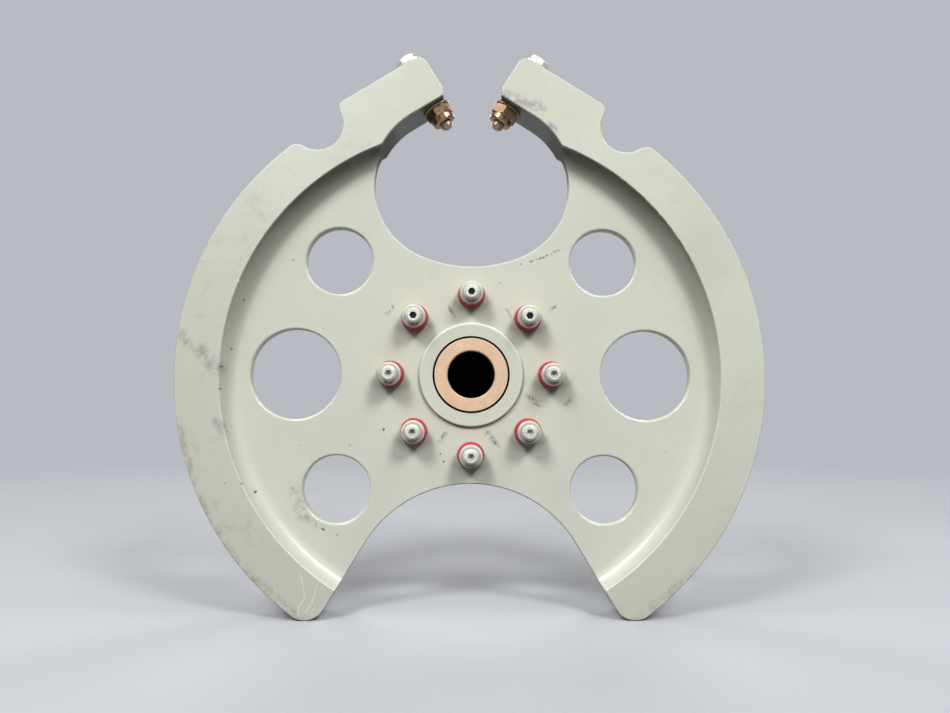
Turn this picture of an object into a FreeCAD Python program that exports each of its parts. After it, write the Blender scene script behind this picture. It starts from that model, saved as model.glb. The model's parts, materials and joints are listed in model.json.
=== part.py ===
import FreeCAD, Part
import math
import os

Vector = FreeCAD.Vector

# An elevator control sector: a machined plate with a grooved cable rim, two cable ears at the
# top and a flanged hub pinned behind its web. The origin lies on the pivot axis, halfway
# through the plate. +X is right, +Z is up and the collar side faces -Y. Sizes in mm.

# Sector plate
RIM_RADIUS = 116.84          # outside of the cable rim
RIM_WIDTH = 17.78            # rim, measured along a radius
RIM_THICKNESS = 19.05        # rim and ears, front to back
WEB_THICKNESS = 5.08
RIM_FILLET = 6.35            # rim's inner wall into the web, both sides
EDGE_BREAK = 0.4
HOLE_ROUND = 0.9             # rounded mouths of the lightening holes

# Ears and the notch that parts each one from the rim
EAR_ANGLE = 58.1             # direction square to the ear's outer face, from +X
EAR_RISE = 4.06              # ear's outer face beyond the rim's outside
EAR_DEPTH = 19.05            # ear, from its outer to its inner face
EAR_CORNER = 2.5             # upright corner of the ear's end, square to the ear
EAR_GAP = 23.5               # between the two ears' tips
EAR_TIP_RADIUS = 4.0
EAR_HEEL_RADIUS = 3.75
NOTCH_RADIUS = 10.3
NOTCH_RISE = 0.96            # notch's centre beyond the rim's outside
RIM_END_RADIUS = 5.2         # rounded end of the rim beside the notch

# Round cut-out between the ears, from tangent arcs
CUTOUT_FLOOR = 44.03         # pivot axis up to the cut-out's floor
CUTOUT_FLATTEN = 20.2        # floor arc's radius beyond the side arcs' radius
CUTOUT_SPREAD = 8.05         # half the distance between the side arcs' centres

# Arch under the hub
ARCH_RADIUS = 49.4
ARCH_TOP = 43.7              # pivot axis down to the top of the arch
ARCH_SPLAY = 31.2            # slope of the arch's straight sides, from upright
TIP_RADIUS = 8.5

# Lightening holes, one large and two small on each side
HOLE_INSET = 28.46           # holes' circle inside the rim's inner wall
HOLE_ANGLE = 40.65
SIDE_HOLE_RADIUS = 18.1
CORNER_HOLE_RADIUS = 13.5

# Cable groove round the rim, run on as a straight slot into each ear
CABLE_RADIUS = 2.38
CABLE_CLEARANCE = 0.25
GROOVE_DEPTH = 6.35
GROOVE_FLANK = 15.0          # slope of the groove's sides
POCKET_RADIUS = 4.8          # round pocket for the cable's ball end
POCKET_INSET = 12.0          # pocket's axis to the ear bolt's axis
POCKET_SINK = 1.2            # pocket's floor below the slot's floor

# Flanged hub behind the web, its nose through the plate
NOSE_RADIUS = 20.9
NOSE_PROUD = 1.6             # nose in front of the web
NOSE_CLEARANCE = 0.05
FLANGE_RADIUS = 40.0
FLANGE_THICKNESS = 5.08
STUB_RADIUS = 20.65
STUB_LENGTH = 36.0           # behind the flange
STUB_FILLET = 3.0
HUB_END_WALL = 4.0
HUB_RELIEF_RADIUS = 12.5
HUB_EDGE = 0.8

# Bronze pivot bushing
BUSHING_RADIUS = 15.0
BORE_RADIUS = 9.525
BUSHING_LENGTH = 22.0
BUSHING_PROUD = 0.3
BUSHING_EDGE = 0.4
PRESS_CLEARANCE = 0.01

# Eight flange pins with swaged collars
PIN_COUNT = 8
PIN_INSET = 7.6              # pins' circle inside the flange's edge
PIN_RADIUS = 3.175
PIN_CLEARANCE = 0.03
PIN_STANDOFF = 10.9          # pin's tip in front of the web
PIN_END_BREAK = 0.9
PIN_HEAD_RADIUS = 5.3
PIN_HEAD_HEIGHT = 2.3
PIN_HEAD_BREAK = 0.5
RECESS_ACROSS = 2.6          # hex recess in the pin's tip
RECESS_DEPTH = 3.5
COLLAR_BASE_RADIUS = 5.5
COLLAR_TOP_RADIUS = 4.6
COLLAR_HEIGHT = 7.8
COLLAR_BASE_HEIGHT = 0.8
COLLAR_TAPER_HEIGHT = 5.6
COLLAR_ROUND = 0.6
COLLAR_LIP_RADIUS = 3.7      # thin ring left where the collar's drive broke off
COLLAR_LIP_HEIGHT = 0.5

# Cable retaining bolt through each ear
BOLT_INSET = 5.31            # bolt's axis to the ear's end face
BOLT_RADIUS = 2.415
BOLT_CLEARANCE = 0.06
BOLT_END_BREAK = 0.8
BOLT_STUB = 2.6              # bolt's end beyond the nut
HEAD_ACROSS = 9.53           # across flats
HEAD_HEIGHT = 2.4
HEAD_BREAK = 0.6
WASHER_RADIUS = 5.75
HEAD_WASHERS = (1.6, 0.8)    # thickness of each washer under the head
NUT_WASHER = 0.8             # thickness of the washer under the nut
WASHER_EDGE = 0.2
NUT_ACROSS = 10.0            # across flats
NUT_HEX_HEIGHT = 4.0
NUT_BREAK = 0.3
NUT_CROWN_HEIGHT = 2.6
NUT_CROWN_RADIUS = 3.9
LEFT_NUT_TURN = 7.0          # turn of each nut's hexagon from its flat facing the front
RIGHT_NUT_TURN = 28.0

# Places that follow from the sizes
RIM_INNER = RIM_RADIUS - RIM_WIDTH
RIM_FACE = RIM_THICKNESS / 2
WEB_FACE = WEB_THICKNESS / 2
EAR_OUTER = RIM_RADIUS + EAR_RISE
EAR_INNER = EAR_OUTER - EAR_DEPTH
NOTCH_CENTRE = RIM_RADIUS + NOTCH_RISE
HOLE_CIRCLE = RIM_INNER - HOLE_INSET
PIN_CIRCLE = FLANGE_RADIUS - PIN_INSET
GROOVE_FLOOR = RIM_RADIUS - GROOVE_DEPTH
FLANGE_BACK = WEB_FACE + FLANGE_THICKNESS
HUB_BACK = FLANGE_BACK + STUB_LENGTH
NOSE_FACE = WEB_FACE + NOSE_PROUD
NUT_HEIGHT = NUT_HEX_HEIGHT + NUT_CROWN_HEIGHT
OVERRUN = 5.0                # how far a cutter runs past what it cuts
SAME = 0.001                 # closer than this counts as the same place

PIVOT = Vector(0, 0, 0)
FRONT = Vector(0, -1, 0)
UP = Vector(0, 0, 1)
EAR_NORMAL = Vector(math.cos(math.radians(EAR_ANGLE)), 0, math.sin(math.radians(EAR_ANGLE)))
EAR_ALONG = Vector(-EAR_NORMAL.z, 0, EAR_NORMAL.x)

# Along the ear from the notch's centre: end face, bolt and ball pocket
EAR_REACH = ((EAR_INNER + EAR_CORNER) * EAR_NORMAL.x - EAR_GAP / 2) / EAR_NORMAL.z
BOLT_REACH = EAR_REACH - BOLT_INSET
POCKET_REACH = BOLT_REACH - POCKET_INSET


# Plane geometry for the outline

def on_ear(distance, along):
    """Point at a distance from the pivot axis square to the ear, and along the right ear."""
    return EAR_NORMAL * distance + EAR_ALONG * along


def toward(start, target, distance):
    """Point at a distance from start on the way to target."""
    return start + (target - start).normalize() * distance


def arc(centre, start, end):
    """The shorter arc about a centre from start to end."""
    radius = (start - centre).Length
    halfway = (start - centre) + (end - centre)
    return Part.Arc(start, centre + halfway.normalize() * radius, end).toShape()


def line(start, end):
    return Part.LineSegment(start, end).toShape()


def leg(long_side, short_side):
    """Other side of a right-angled triangle."""
    return math.sqrt(long_side ** 2 - short_side ** 2)


def cutout_arcs():
    """Centres of the cut-out's right side arc and of its floor arc, and their radii."""
    rise = leg(CUTOUT_FLATTEN, CUTOUT_SPREAD)
    lift = CUTOUT_FLOOR + CUTOUT_FLATTEN - rise
    side_radius = (EAR_INNER - CUTOUT_SPREAD * EAR_NORMAL.x - lift * EAR_NORMAL.z) / (1 + EAR_NORMAL.z)
    side = Vector(CUTOUT_SPREAD, 0, lift + side_radius)
    return side, Vector(0, 0, side.z + rise), side_radius, side_radius + CUTOUT_FLATTEN


def rim_end_centre():
    """Centre of the rounding that touches both the rim's outside and the notch."""
    reach = RIM_RADIUS - RIM_END_RADIUS
    span = NOTCH_RADIUS + RIM_END_RADIUS
    distance = (NOTCH_CENTRE ** 2 + reach ** 2 - span ** 2) / (2 * NOTCH_CENTRE)
    return on_ear(distance, -leg(reach, distance))


def ear_heel_centre():
    """Centre of the rounding that touches both the notch and the ear's outer face."""
    distance = EAR_OUTER - EAR_HEEL_RADIUS
    return on_ear(distance, leg(NOTCH_RADIUS + EAR_HEEL_RADIUS, NOTCH_CENTRE - distance))


def right_ear_edges(floor_end):
    """Edges from the floor of the cut-out, round the right ear, to the rim's outside."""
    side, _, side_radius, _ = cutout_arcs()
    notch = on_ear(NOTCH_CENTRE, 0)
    rim_end = rim_end_centre()
    heel = ear_heel_centre()
    inner_start = side + EAR_NORMAL * side_radius
    tip_x = EAR_GAP / 2
    inner_end = on_ear(EAR_INNER, (EAR_INNER * EAR_NORMAL.x - tip_x) / EAR_NORMAL.z)
    end_low = on_ear(EAR_INNER + EAR_CORNER, EAR_REACH)
    end_high = on_ear(EAR_OUTER - EAR_TIP_RADIUS, EAR_REACH)
    tip = on_ear(EAR_OUTER - EAR_TIP_RADIUS, EAR_REACH - EAR_TIP_RADIUS)
    outer_start = on_ear(EAR_OUTER, EAR_REACH - EAR_TIP_RADIUS)
    outer_end = heel + EAR_NORMAL * EAR_HEEL_RADIUS
    heel_end = toward(heel, notch, EAR_HEEL_RADIUS)
    notch_end = toward(notch, rim_end, NOTCH_RADIUS)
    rim_start = toward(PIVOT, rim_end, RIM_RADIUS)
    return [arc(side, floor_end, inner_start),
            line(inner_start, inner_end),
            line(inner_end, end_low),
            line(end_low, end_high),
            arc(tip, end_high, outer_start),
            line(outer_start, outer_end),
            arc(heel, outer_end, heel_end),
            arc(notch, heel_end, notch_end),
            arc(rim_end, notch_end, rim_start)], rim_start


def right_leg_edges(rim_start):
    """Edges from the rim's outside, round the lower tip, to the arch."""
    splay = math.radians(ARCH_SPLAY)
    square = Vector(math.cos(splay), 0, math.sin(splay))
    down = Vector(math.sin(splay), 0, -math.cos(splay))
    arch = Vector(0, 0, -ARCH_TOP - ARCH_RADIUS)
    side_distance = arch.dot(square) + ARCH_RADIUS
    tip_distance = side_distance + TIP_RADIUS
    tip = square * tip_distance + down * leg(RIM_RADIUS - TIP_RADIUS, tip_distance)
    rim_end = toward(PIVOT, tip, RIM_RADIUS)
    side_start = tip - square * TIP_RADIUS
    arch_end = arch + square * ARCH_RADIUS
    return [arc(PIVOT, rim_start, rim_end),
            arc(tip, rim_end, side_start),
            line(side_start, arch_end)], arch_end


def plate_outline():
    """Closed outline of the plate, its two halves mirrored about the upright axis."""
    side, floor, _, floor_radius = cutout_arcs()
    floor_end = toward(floor, side, floor_radius)
    ear_edges, rim_start = right_ear_edges(floor_end)
    leg_edges, arch_end = right_leg_edges(rim_start)
    right = ear_edges + leg_edges
    left = [edge.mirror(PIVOT, Vector(1, 0, 0)) for edge in right]
    floor_low = floor - UP * floor_radius
    arch_high = Vector(0, 0, -ARCH_TOP)
    floor_arc = Part.Arc(mirrored(floor_end), floor_low, floor_end).toShape()
    arch_arc = Part.Arc(mirrored(arch_end), arch_high, arch_end).toShape()
    edges = right + left + [floor_arc, arch_arc]
    return Part.Wire(Part.__sortEdges__(edges))


def mirrored(point):
    return Vector(-point.x, point.y, point.z)


# Solids shared by several parts

def turned(points):
    """Solid turned about the pivot axis from a half profile of (radius, y) points."""
    corners = [Vector(radius, y, 0) for radius, y in points]
    face = Part.Face(Part.makePolygon(corners + corners[:1]))
    return face.revolve(PIVOT, FRONT, 360)


def turned_upright(points):
    """Solid turned about the Z axis from a half profile of (radius, z) points."""
    corners = [Vector(radius, 0, z) for radius, z in points]
    face = Part.Face(Part.makePolygon(corners + corners[:1]))
    return face.revolve(PIVOT, UP, 360)


def bar(radius, start_y, end_y, x=0.0, z=0.0):
    """Cylinder along Y between two values of y."""
    return Part.makeCylinder(radius, end_y - start_y, Vector(x, start_y, z), Vector(0, 1, 0))


def hexagon(across, height):
    """Hexagonal prism on the XY plane, measured across its flats."""
    corner = across / math.sqrt(3)
    corners = [Vector(corner * math.cos(math.radians(60 * i)), corner * math.sin(math.radians(60 * i)), 0)
               for i in range(7)]
    return Part.Face(Part.makePolygon(corners)).extrude(UP * height)


def round_hex(prism, across, height, break_size, low=False):
    """Take the corners off a hexagonal prism's top, and off its bottom too if asked."""
    corner = across / math.sqrt(3)
    rim = across / 2
    fall = (corner - rim) * math.tan(math.radians(30)) + break_size / 2
    wide = corner + OVERRUN
    reach = fall * (wide - rim) / (corner - rim)
    top = turned_upright([(0, height), (rim, height), (wide, height - reach), (wide, -OVERRUN), (0, -OVERRUN)])
    solid = prism.common(top)
    if low:
        foot = turned_upright([(0, 0), (rim, 0), (wide, reach), (wide, height + OVERRUN),
                               (0, height + OVERRUN)])
        solid = solid.common(foot)
    return solid


def pin_places():
    """Centres of the flange pins, the first one straight above the pivot."""
    for i in range(PIN_COUNT):
        angle = math.pi / 2 - 2 * math.pi * i / PIN_COUNT
        yield PIN_CIRCLE * math.cos(angle), PIN_CIRCLE * math.sin(angle)


def hole_places():
    """Centre and radius of each lightening hole."""
    for side in (-1, 1):
        for step in (-1, 0, 1):
            angle = math.radians(HOLE_ANGLE * step)
            radius = CORNER_HOLE_RADIUS if step else SIDE_HOLE_RADIUS
            yield side * HOLE_CIRCLE * math.cos(angle), HOLE_CIRCLE * math.sin(angle), radius


def in_ear(solid, side, distance):
    """Move a solid built along Z onto the bolt's axis in one ear, its foot at a distance."""
    place = on_ear(distance, BOLT_REACH)
    moved = solid.copy()
    moved.rotate(PIVOT, Vector(0, 1, 0), side * (90 - EAR_ANGLE))
    moved.translate(Vector(side * place.x, 0, place.z))
    return moved


# Sector plate

def rim_pocket():
    """What the web's pocket takes out, in front of the web."""
    fillet = min(RIM_FILLET, 0.9 * (RIM_FACE - WEB_FACE))
    deep = RIM_INNER - fillet
    outside = RIM_FACE + OVERRUN
    corner = Vector(deep, -WEB_FACE - fillet, 0)
    start = Vector(deep, -WEB_FACE, 0)
    end = Vector(RIM_INNER, corner.y, 0)
    edges = [line(Vector(0, -WEB_FACE, 0), start),
             arc(corner, start, end),
             line(end, Vector(RIM_INNER, -outside, 0)),
             line(Vector(RIM_INNER, -outside, 0), Vector(0, -outside, 0)),
             line(Vector(0, -outside, 0), Vector(0, -WEB_FACE, 0))]
    return Part.Face(Part.Wire(edges)).revolve(PIVOT, FRONT, 360)


def groove_face():
    """Section of the cable groove, on the +X side of the rim."""
    radius = CABLE_RADIUS + CABLE_CLEARANCE
    flank = math.radians(GROOVE_FLANK)
    centre = Vector(GROOVE_FLOOR + radius, 0, 0)
    low = centre.x - radius * math.sin(flank)
    half = radius * math.cos(flank)
    top = EAR_OUTER + OVERRUN
    wide = half + (top - low) * math.tan(flank)
    bottom = Part.Arc(Vector(low, -half, 0), Vector(GROOVE_FLOOR, 0, 0), Vector(low, half, 0)).toShape()
    return Part.Face(Part.Wire([bottom,
                                line(Vector(low, half, 0), Vector(top, wide, 0)),
                                line(Vector(top, wide, 0), Vector(top, -wide, 0)),
                                line(Vector(top, -wide, 0), Vector(low, -half, 0))]))


def right_groove():
    """Cutter for the groove: round the rim, straight into the ear, and the ball pocket."""
    below_tip = 75.0
    face = groove_face()
    face.rotate(PIVOT, FRONT, -below_tip)
    around = face.revolve(PIVOT, FRONT, below_tip + EAR_ANGLE)
    end_face = groove_face()
    end_face.rotate(PIVOT, FRONT, EAR_ANGLE)
    along = end_face.extrude(EAR_ALONG * POCKET_REACH)
    foot = on_ear(GROOVE_FLOOR - POCKET_SINK, POCKET_REACH)
    pocket = Part.makeCylinder(POCKET_RADIUS, EAR_OUTER - GROOVE_FLOOR + OVERRUN, foot, EAR_NORMAL)
    return [around, along, pocket]


def face_edges(solid):
    """The plate's edges that lie in its four flat faces."""
    found = []
    for edge in solid.Edges:
        heights = [abs(vertex.Y) for vertex in edge.Vertexes] + [abs(edge.CenterOfMass.y)]
        on_rim = all(abs(height - RIM_FACE) < SAME for height in heights)
        on_web = all(abs(height - WEB_FACE) < SAME for height in heights)
        if on_rim or on_web:
            found.append(edge)
    return found


def lightening_cutter(x, z, radius):
    """Cutter for a lightening hole whose mouths are rounded on both faces of the web."""
    wide = radius + HOLE_ROUND
    inner = WEB_FACE - HOLE_ROUND
    solid = bar(radius, -RIM_FACE, RIM_FACE, x, z)
    for side in (-1, 1):
        flare = Part.makeCylinder(wide, HOLE_ROUND, Vector(x, side * inner, z), Vector(0, side, 0))
        ring = Part.makeTorus(wide, HOLE_ROUND, Vector(x, side * inner, z), Vector(0, 1, 0))
        solid = solid.fuse(flare.cut(ring))
    return solid


def sector_plate():
    outline = plate_outline()
    outline.translate(Vector(0, -RIM_FACE, 0))
    plate = Part.Face(outline).extrude(Vector(0, RIM_THICKNESS, 0))
    front_pocket = rim_pocket()
    back_pocket = front_pocket.mirror(PIVOT, Vector(0, 1, 0))
    plate = plate.cut([front_pocket, back_pocket])
    plate = plate.makeChamfer(EDGE_BREAK, face_edges(plate))
    cutters = [bar(NOSE_RADIUS + NOSE_CLEARANCE, -RIM_FACE, RIM_FACE)]
    for x, z, radius in hole_places():
        cutters.append(lightening_cutter(x, z, radius))
    for x, z in pin_places():
        cutters.append(bar(PIN_RADIUS + PIN_CLEARANCE, -RIM_FACE, RIM_FACE, x, z))
    for cutter in right_groove():
        cutters.append(cutter)
        cutters.append(cutter.mirror(PIVOT, Vector(1, 0, 0)))
    bolt_hole = Part.makeCylinder(BOLT_RADIUS + BOLT_CLEARANCE, EAR_DEPTH + 2 * OVERRUN)
    for side in (-1, 1):
        cutters.append(in_ear(bolt_hole, side, EAR_INNER - OVERRUN))
    return plate.cut(cutters)


# Hub and bushing

def hub():
    seat = BUSHING_RADIUS + PRESS_CLEARANCE
    seat_end = -NOSE_FACE - BUSHING_PROUD + BUSHING_LENGTH
    mouth = EDGE_BREAK
    profile = [(seat + mouth, -NOSE_FACE),
               (NOSE_RADIUS - mouth, -NOSE_FACE),
               (NOSE_RADIUS, -NOSE_FACE + mouth),
               (NOSE_RADIUS, WEB_FACE),
               (FLANGE_RADIUS - HUB_EDGE, WEB_FACE),
               (FLANGE_RADIUS, WEB_FACE + HUB_EDGE),
               (FLANGE_RADIUS, FLANGE_BACK - HUB_EDGE),
               (FLANGE_RADIUS - HUB_EDGE, FLANGE_BACK),
               (STUB_RADIUS, FLANGE_BACK),
               (STUB_RADIUS, HUB_BACK - HUB_EDGE),
               (STUB_RADIUS - HUB_EDGE, HUB_BACK),
               (0, HUB_BACK),
               (0, HUB_BACK - HUB_END_WALL),
               (HUB_RELIEF_RADIUS, HUB_BACK - HUB_END_WALL),
               (HUB_RELIEF_RADIUS, seat_end),
               (seat, seat_end),
               (seat, -NOSE_FACE + mouth)]
    solid = turned(profile)
    root = [edge for edge in solid.Edges
            if len(edge.Vertexes) == 1
            and abs(edge.CenterOfMass.y - FLANGE_BACK) < SAME
            and abs(edge.Vertexes[0].Point.distanceToPoint(edge.CenterOfMass) - STUB_RADIUS) < SAME]
    solid = solid.makeFillet(STUB_FILLET, root)
    holes = [bar(PIN_RADIUS + PIN_CLEARANCE, -RIM_FACE, FLANGE_BACK + OVERRUN, x, z) for x, z in pin_places()]
    return solid.cut(holes)


def pivot_bushing():
    front = -NOSE_FACE - BUSHING_PROUD
    back = front + BUSHING_LENGTH
    return turned([(BORE_RADIUS + BUSHING_EDGE, front),
                   (BUSHING_RADIUS - BUSHING_EDGE, front),
                   (BUSHING_RADIUS, front + BUSHING_EDGE),
                   (BUSHING_RADIUS, back - BUSHING_EDGE),
                   (BUSHING_RADIUS - BUSHING_EDGE, back),
                   (BORE_RADIUS + BUSHING_EDGE, back),
                   (BORE_RADIUS, back - BUSHING_EDGE),
                   (BORE_RADIUS, front + BUSHING_EDGE)])


# Flange pins and their collars

def flange_pin():
    """Pin on the pivot axis, its head against the back of the flange."""
    tip = -WEB_FACE - PIN_STANDOFF
    head_back = FLANGE_BACK + PIN_HEAD_HEIGHT
    solid = turned([(0, tip),
                    (PIN_RADIUS - PIN_END_BREAK, tip),
                    (PIN_RADIUS, tip + PIN_END_BREAK),
                    (PIN_RADIUS, FLANGE_BACK),
                    (PIN_HEAD_RADIUS, FLANGE_BACK),
                    (PIN_HEAD_RADIUS, head_back - PIN_HEAD_BREAK),
                    (PIN_HEAD_RADIUS - PIN_HEAD_BREAK, head_back),
                    (0, head_back)])
    recess = hexagon(RECESS_ACROSS, RECESS_DEPTH + OVERRUN)
    recess.rotate(PIVOT, Vector(1, 0, 0), 90)
    recess.translate(Vector(0, tip + RECESS_DEPTH, 0))
    return solid.cut(recess)


def pin_collar():
    """Swaged collar on the pivot axis, its foot against the front of the web."""
    bore = PIN_RADIUS + PIN_CLEARANCE
    foot = -WEB_FACE
    shoulder = foot - COLLAR_BASE_HEIGHT - COLLAR_TAPER_HEIGHT
    top = foot - COLLAR_HEIGHT
    return turned([(bore, foot),
                   (COLLAR_BASE_RADIUS, foot),
                   (COLLAR_BASE_RADIUS, foot - COLLAR_BASE_HEIGHT),
                   (COLLAR_TOP_RADIUS, shoulder),
                   (COLLAR_TOP_RADIUS, top + COLLAR_ROUND),
                   (COLLAR_TOP_RADIUS - COLLAR_ROUND, top),
                   (COLLAR_LIP_RADIUS, top),
                   (COLLAR_LIP_RADIUS, top - COLLAR_LIP_HEIGHT),
                   (bore, top - COLLAR_LIP_HEIGHT)])


# Ear bolts, nuts and washers, each built along Z with its foot at zero

def washer(thickness):
    bore = BOLT_RADIUS + BOLT_CLEARANCE
    return turned_upright([(bore, 0),
                           (WASHER_RADIUS - WASHER_EDGE, 0),
                           (WASHER_RADIUS, WASHER_EDGE),
                           (WASHER_RADIUS, thickness - WASHER_EDGE),
                           (WASHER_RADIUS - WASHER_EDGE, thickness),
                           (bore, thickness)])


def ear_bolt():
    """Bolt with its head's seat at zero and its shank downwards."""
    grip = sum(HEAD_WASHERS) + EAR_DEPTH + NUT_WASHER
    length = grip + NUT_HEIGHT + BOLT_STUB
    shank = turned_upright([(0, 0),
                            (BOLT_RADIUS, 0),
                            (BOLT_RADIUS, -length + BOLT_END_BREAK),
                            (BOLT_RADIUS - BOLT_END_BREAK, -length),
                            (0, -length)])
    head = round_hex(hexagon(HEAD_ACROSS, HEAD_HEIGHT), HEAD_ACROSS, HEAD_HEIGHT, HEAD_BREAK)
    return head.fuse(shank).removeSplitter()


def lock_nut(turn):
    """Self-locking nut with its seat at zero, its hexagon first and its crown below."""
    hexes = round_hex(hexagon(NUT_ACROSS, NUT_HEX_HEIGHT), NUT_ACROSS, NUT_HEX_HEIGHT, NUT_BREAK, low=True)
    shoulder = NUT_ACROSS / 2 - NUT_BREAK
    bend = shoulder - NUT_CROWN_RADIUS
    middle = math.sqrt(0.5) * bend
    top = NUT_HEIGHT - bend
    foot = NUT_HEX_HEIGHT - NUT_BREAK
    edges = [line(Vector(0, 0, foot), Vector(shoulder, 0, foot)),
             line(Vector(shoulder, 0, foot), Vector(shoulder, 0, top)),
             Part.Arc(Vector(shoulder, 0, top),
                      Vector(NUT_CROWN_RADIUS + middle, 0, top + middle),
                      Vector(NUT_CROWN_RADIUS, 0, NUT_HEIGHT)).toShape(),
             line(Vector(NUT_CROWN_RADIUS, 0, NUT_HEIGHT), Vector(0, 0, NUT_HEIGHT)),
             line(Vector(0, 0, NUT_HEIGHT), Vector(0, 0, foot))]
    crown = Part.Face(Part.Wire(edges)).revolve(PIVOT, UP, 360)
    bore = Part.makeCylinder(BOLT_RADIUS + BOLT_CLEARANCE, NUT_HEIGHT + 2 * OVERRUN, Vector(0, 0, -OVERRUN))
    nut = hexes.fuse(crown).removeSplitter().cut(bore)
    nut.rotate(PIVOT, Vector(1, 0, 0), 180)
    nut.rotate(PIVOT, UP, turn)
    return nut


def ear_hardware(parts):
    """Bolt, nut and washers of both ears."""
    for side, name, turn in ((-1, "left", LEFT_NUT_TURN), (1, "right", RIGHT_NUT_TURN)):
        seat = EAR_OUTER
        for i, thickness in enumerate(HEAD_WASHERS):
            parts[f"{name}_head_washer_{i + 1}"] = in_ear(washer(thickness), side, seat)
            seat += thickness
        parts[f"{name}_ear_bolt"] = in_ear(ear_bolt(), side, seat)
        parts[f"{name}_nut_washer"] = in_ear(washer(NUT_WASHER), side, EAR_INNER - NUT_WASHER)
        parts[f"{name}_lock_nut"] = in_ear(lock_nut(turn), side, EAR_INNER - NUT_WASHER)


def flange_hardware(parts):
    """The eight flange pins and their collars, clockwise from the top."""
    pin = flange_pin()
    collar = pin_collar()
    for i, (x, z) in enumerate(pin_places()):
        parts[f"flange_pin_{i + 1}"] = pin.translated(Vector(x, 0, z))
        parts[f"pin_collar_{i + 1}"] = collar.translated(Vector(x, 0, z))


def main():
    parts = {"sector_plate": sector_plate(),
             "flanged_hub": hub(),
             "pivot_bushing": pivot_bushing()}
    flange_hardware(parts)
    ear_hardware(parts)
    os.makedirs("parts", exist_ok=True)
    for name, shape in parts.items():
        solid = shape.Solids[0]
        print(name, len(shape.Solids), round(solid.Volume, 1), solid.isValid())
        solid.exportStep(f"parts/{name}.step")


main()
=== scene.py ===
import json
import math

import bmesh
import bpy
from mathutils import Matrix, Vector

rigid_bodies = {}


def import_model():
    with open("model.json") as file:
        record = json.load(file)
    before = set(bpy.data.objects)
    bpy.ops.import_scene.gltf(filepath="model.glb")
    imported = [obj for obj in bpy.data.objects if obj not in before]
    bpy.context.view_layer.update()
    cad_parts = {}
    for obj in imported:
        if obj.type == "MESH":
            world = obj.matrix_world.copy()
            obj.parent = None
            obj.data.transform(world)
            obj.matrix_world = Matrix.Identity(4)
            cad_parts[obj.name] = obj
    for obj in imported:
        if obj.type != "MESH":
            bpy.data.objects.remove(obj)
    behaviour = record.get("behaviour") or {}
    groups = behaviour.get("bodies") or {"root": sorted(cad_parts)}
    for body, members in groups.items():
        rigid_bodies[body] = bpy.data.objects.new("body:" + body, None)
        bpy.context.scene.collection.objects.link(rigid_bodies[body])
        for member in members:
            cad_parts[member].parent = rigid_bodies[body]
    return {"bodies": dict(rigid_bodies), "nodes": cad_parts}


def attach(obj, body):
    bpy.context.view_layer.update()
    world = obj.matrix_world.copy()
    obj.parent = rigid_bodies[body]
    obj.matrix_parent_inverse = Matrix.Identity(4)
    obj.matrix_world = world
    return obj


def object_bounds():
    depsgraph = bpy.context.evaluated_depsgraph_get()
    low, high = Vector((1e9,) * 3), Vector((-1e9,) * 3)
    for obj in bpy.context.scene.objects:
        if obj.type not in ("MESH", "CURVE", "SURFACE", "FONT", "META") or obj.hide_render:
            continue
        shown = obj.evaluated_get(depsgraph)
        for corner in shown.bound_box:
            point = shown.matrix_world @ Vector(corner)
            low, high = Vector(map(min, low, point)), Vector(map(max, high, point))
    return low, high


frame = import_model()
cad_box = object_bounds()
MM = 0.001

# Sizes of the part in mm, where a finish or a small piece has to meet it

RIM_INNER = 99.06
EAR_ANGLE = math.radians(58.1)
EAR_INNER = 101.85
BOLT_REACH = 45.8
BOLT_RADIUS = 2.415
BOLT_STUB = 2.6
NUT_WASHER = 0.8
NUT_HEIGHT = 6.6
NOSE_RADIUS = 20.9
BUSHING_RADIUS = 15.0
BORE_RADIUS = 9.525
SPIGOT_END = 43.62
PIN_COUNT = 8
PIN_CIRCLE = 32.4
PIN_TIP = 13.44
RECESS_CORNER = 2.6 / math.sqrt(3)
COLLAR_FOOT = 2.54

# Sizes in mm that belong to the scene alone, and counts. The pins whose recess is filled are
# counted clockwise from the top one, which is 0

COLLAR_BAND = (0.7, 6.5)
WORN_TIP_RADIUS = 2.45
TURNED_END_RADIUS = 20.0
CENTRE_MARK_RADIUS = 1.5
THREAD_PITCH = 0.79
THREAD_HEIGHT = 0.16
THREAD_STEPS = 40
THREAD_TAPER = 12
FILLED_RECESSES = range(2, 7)
FILL_SIDES = 24
FILL_DISH = 0.5


# Shader helpers

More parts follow.
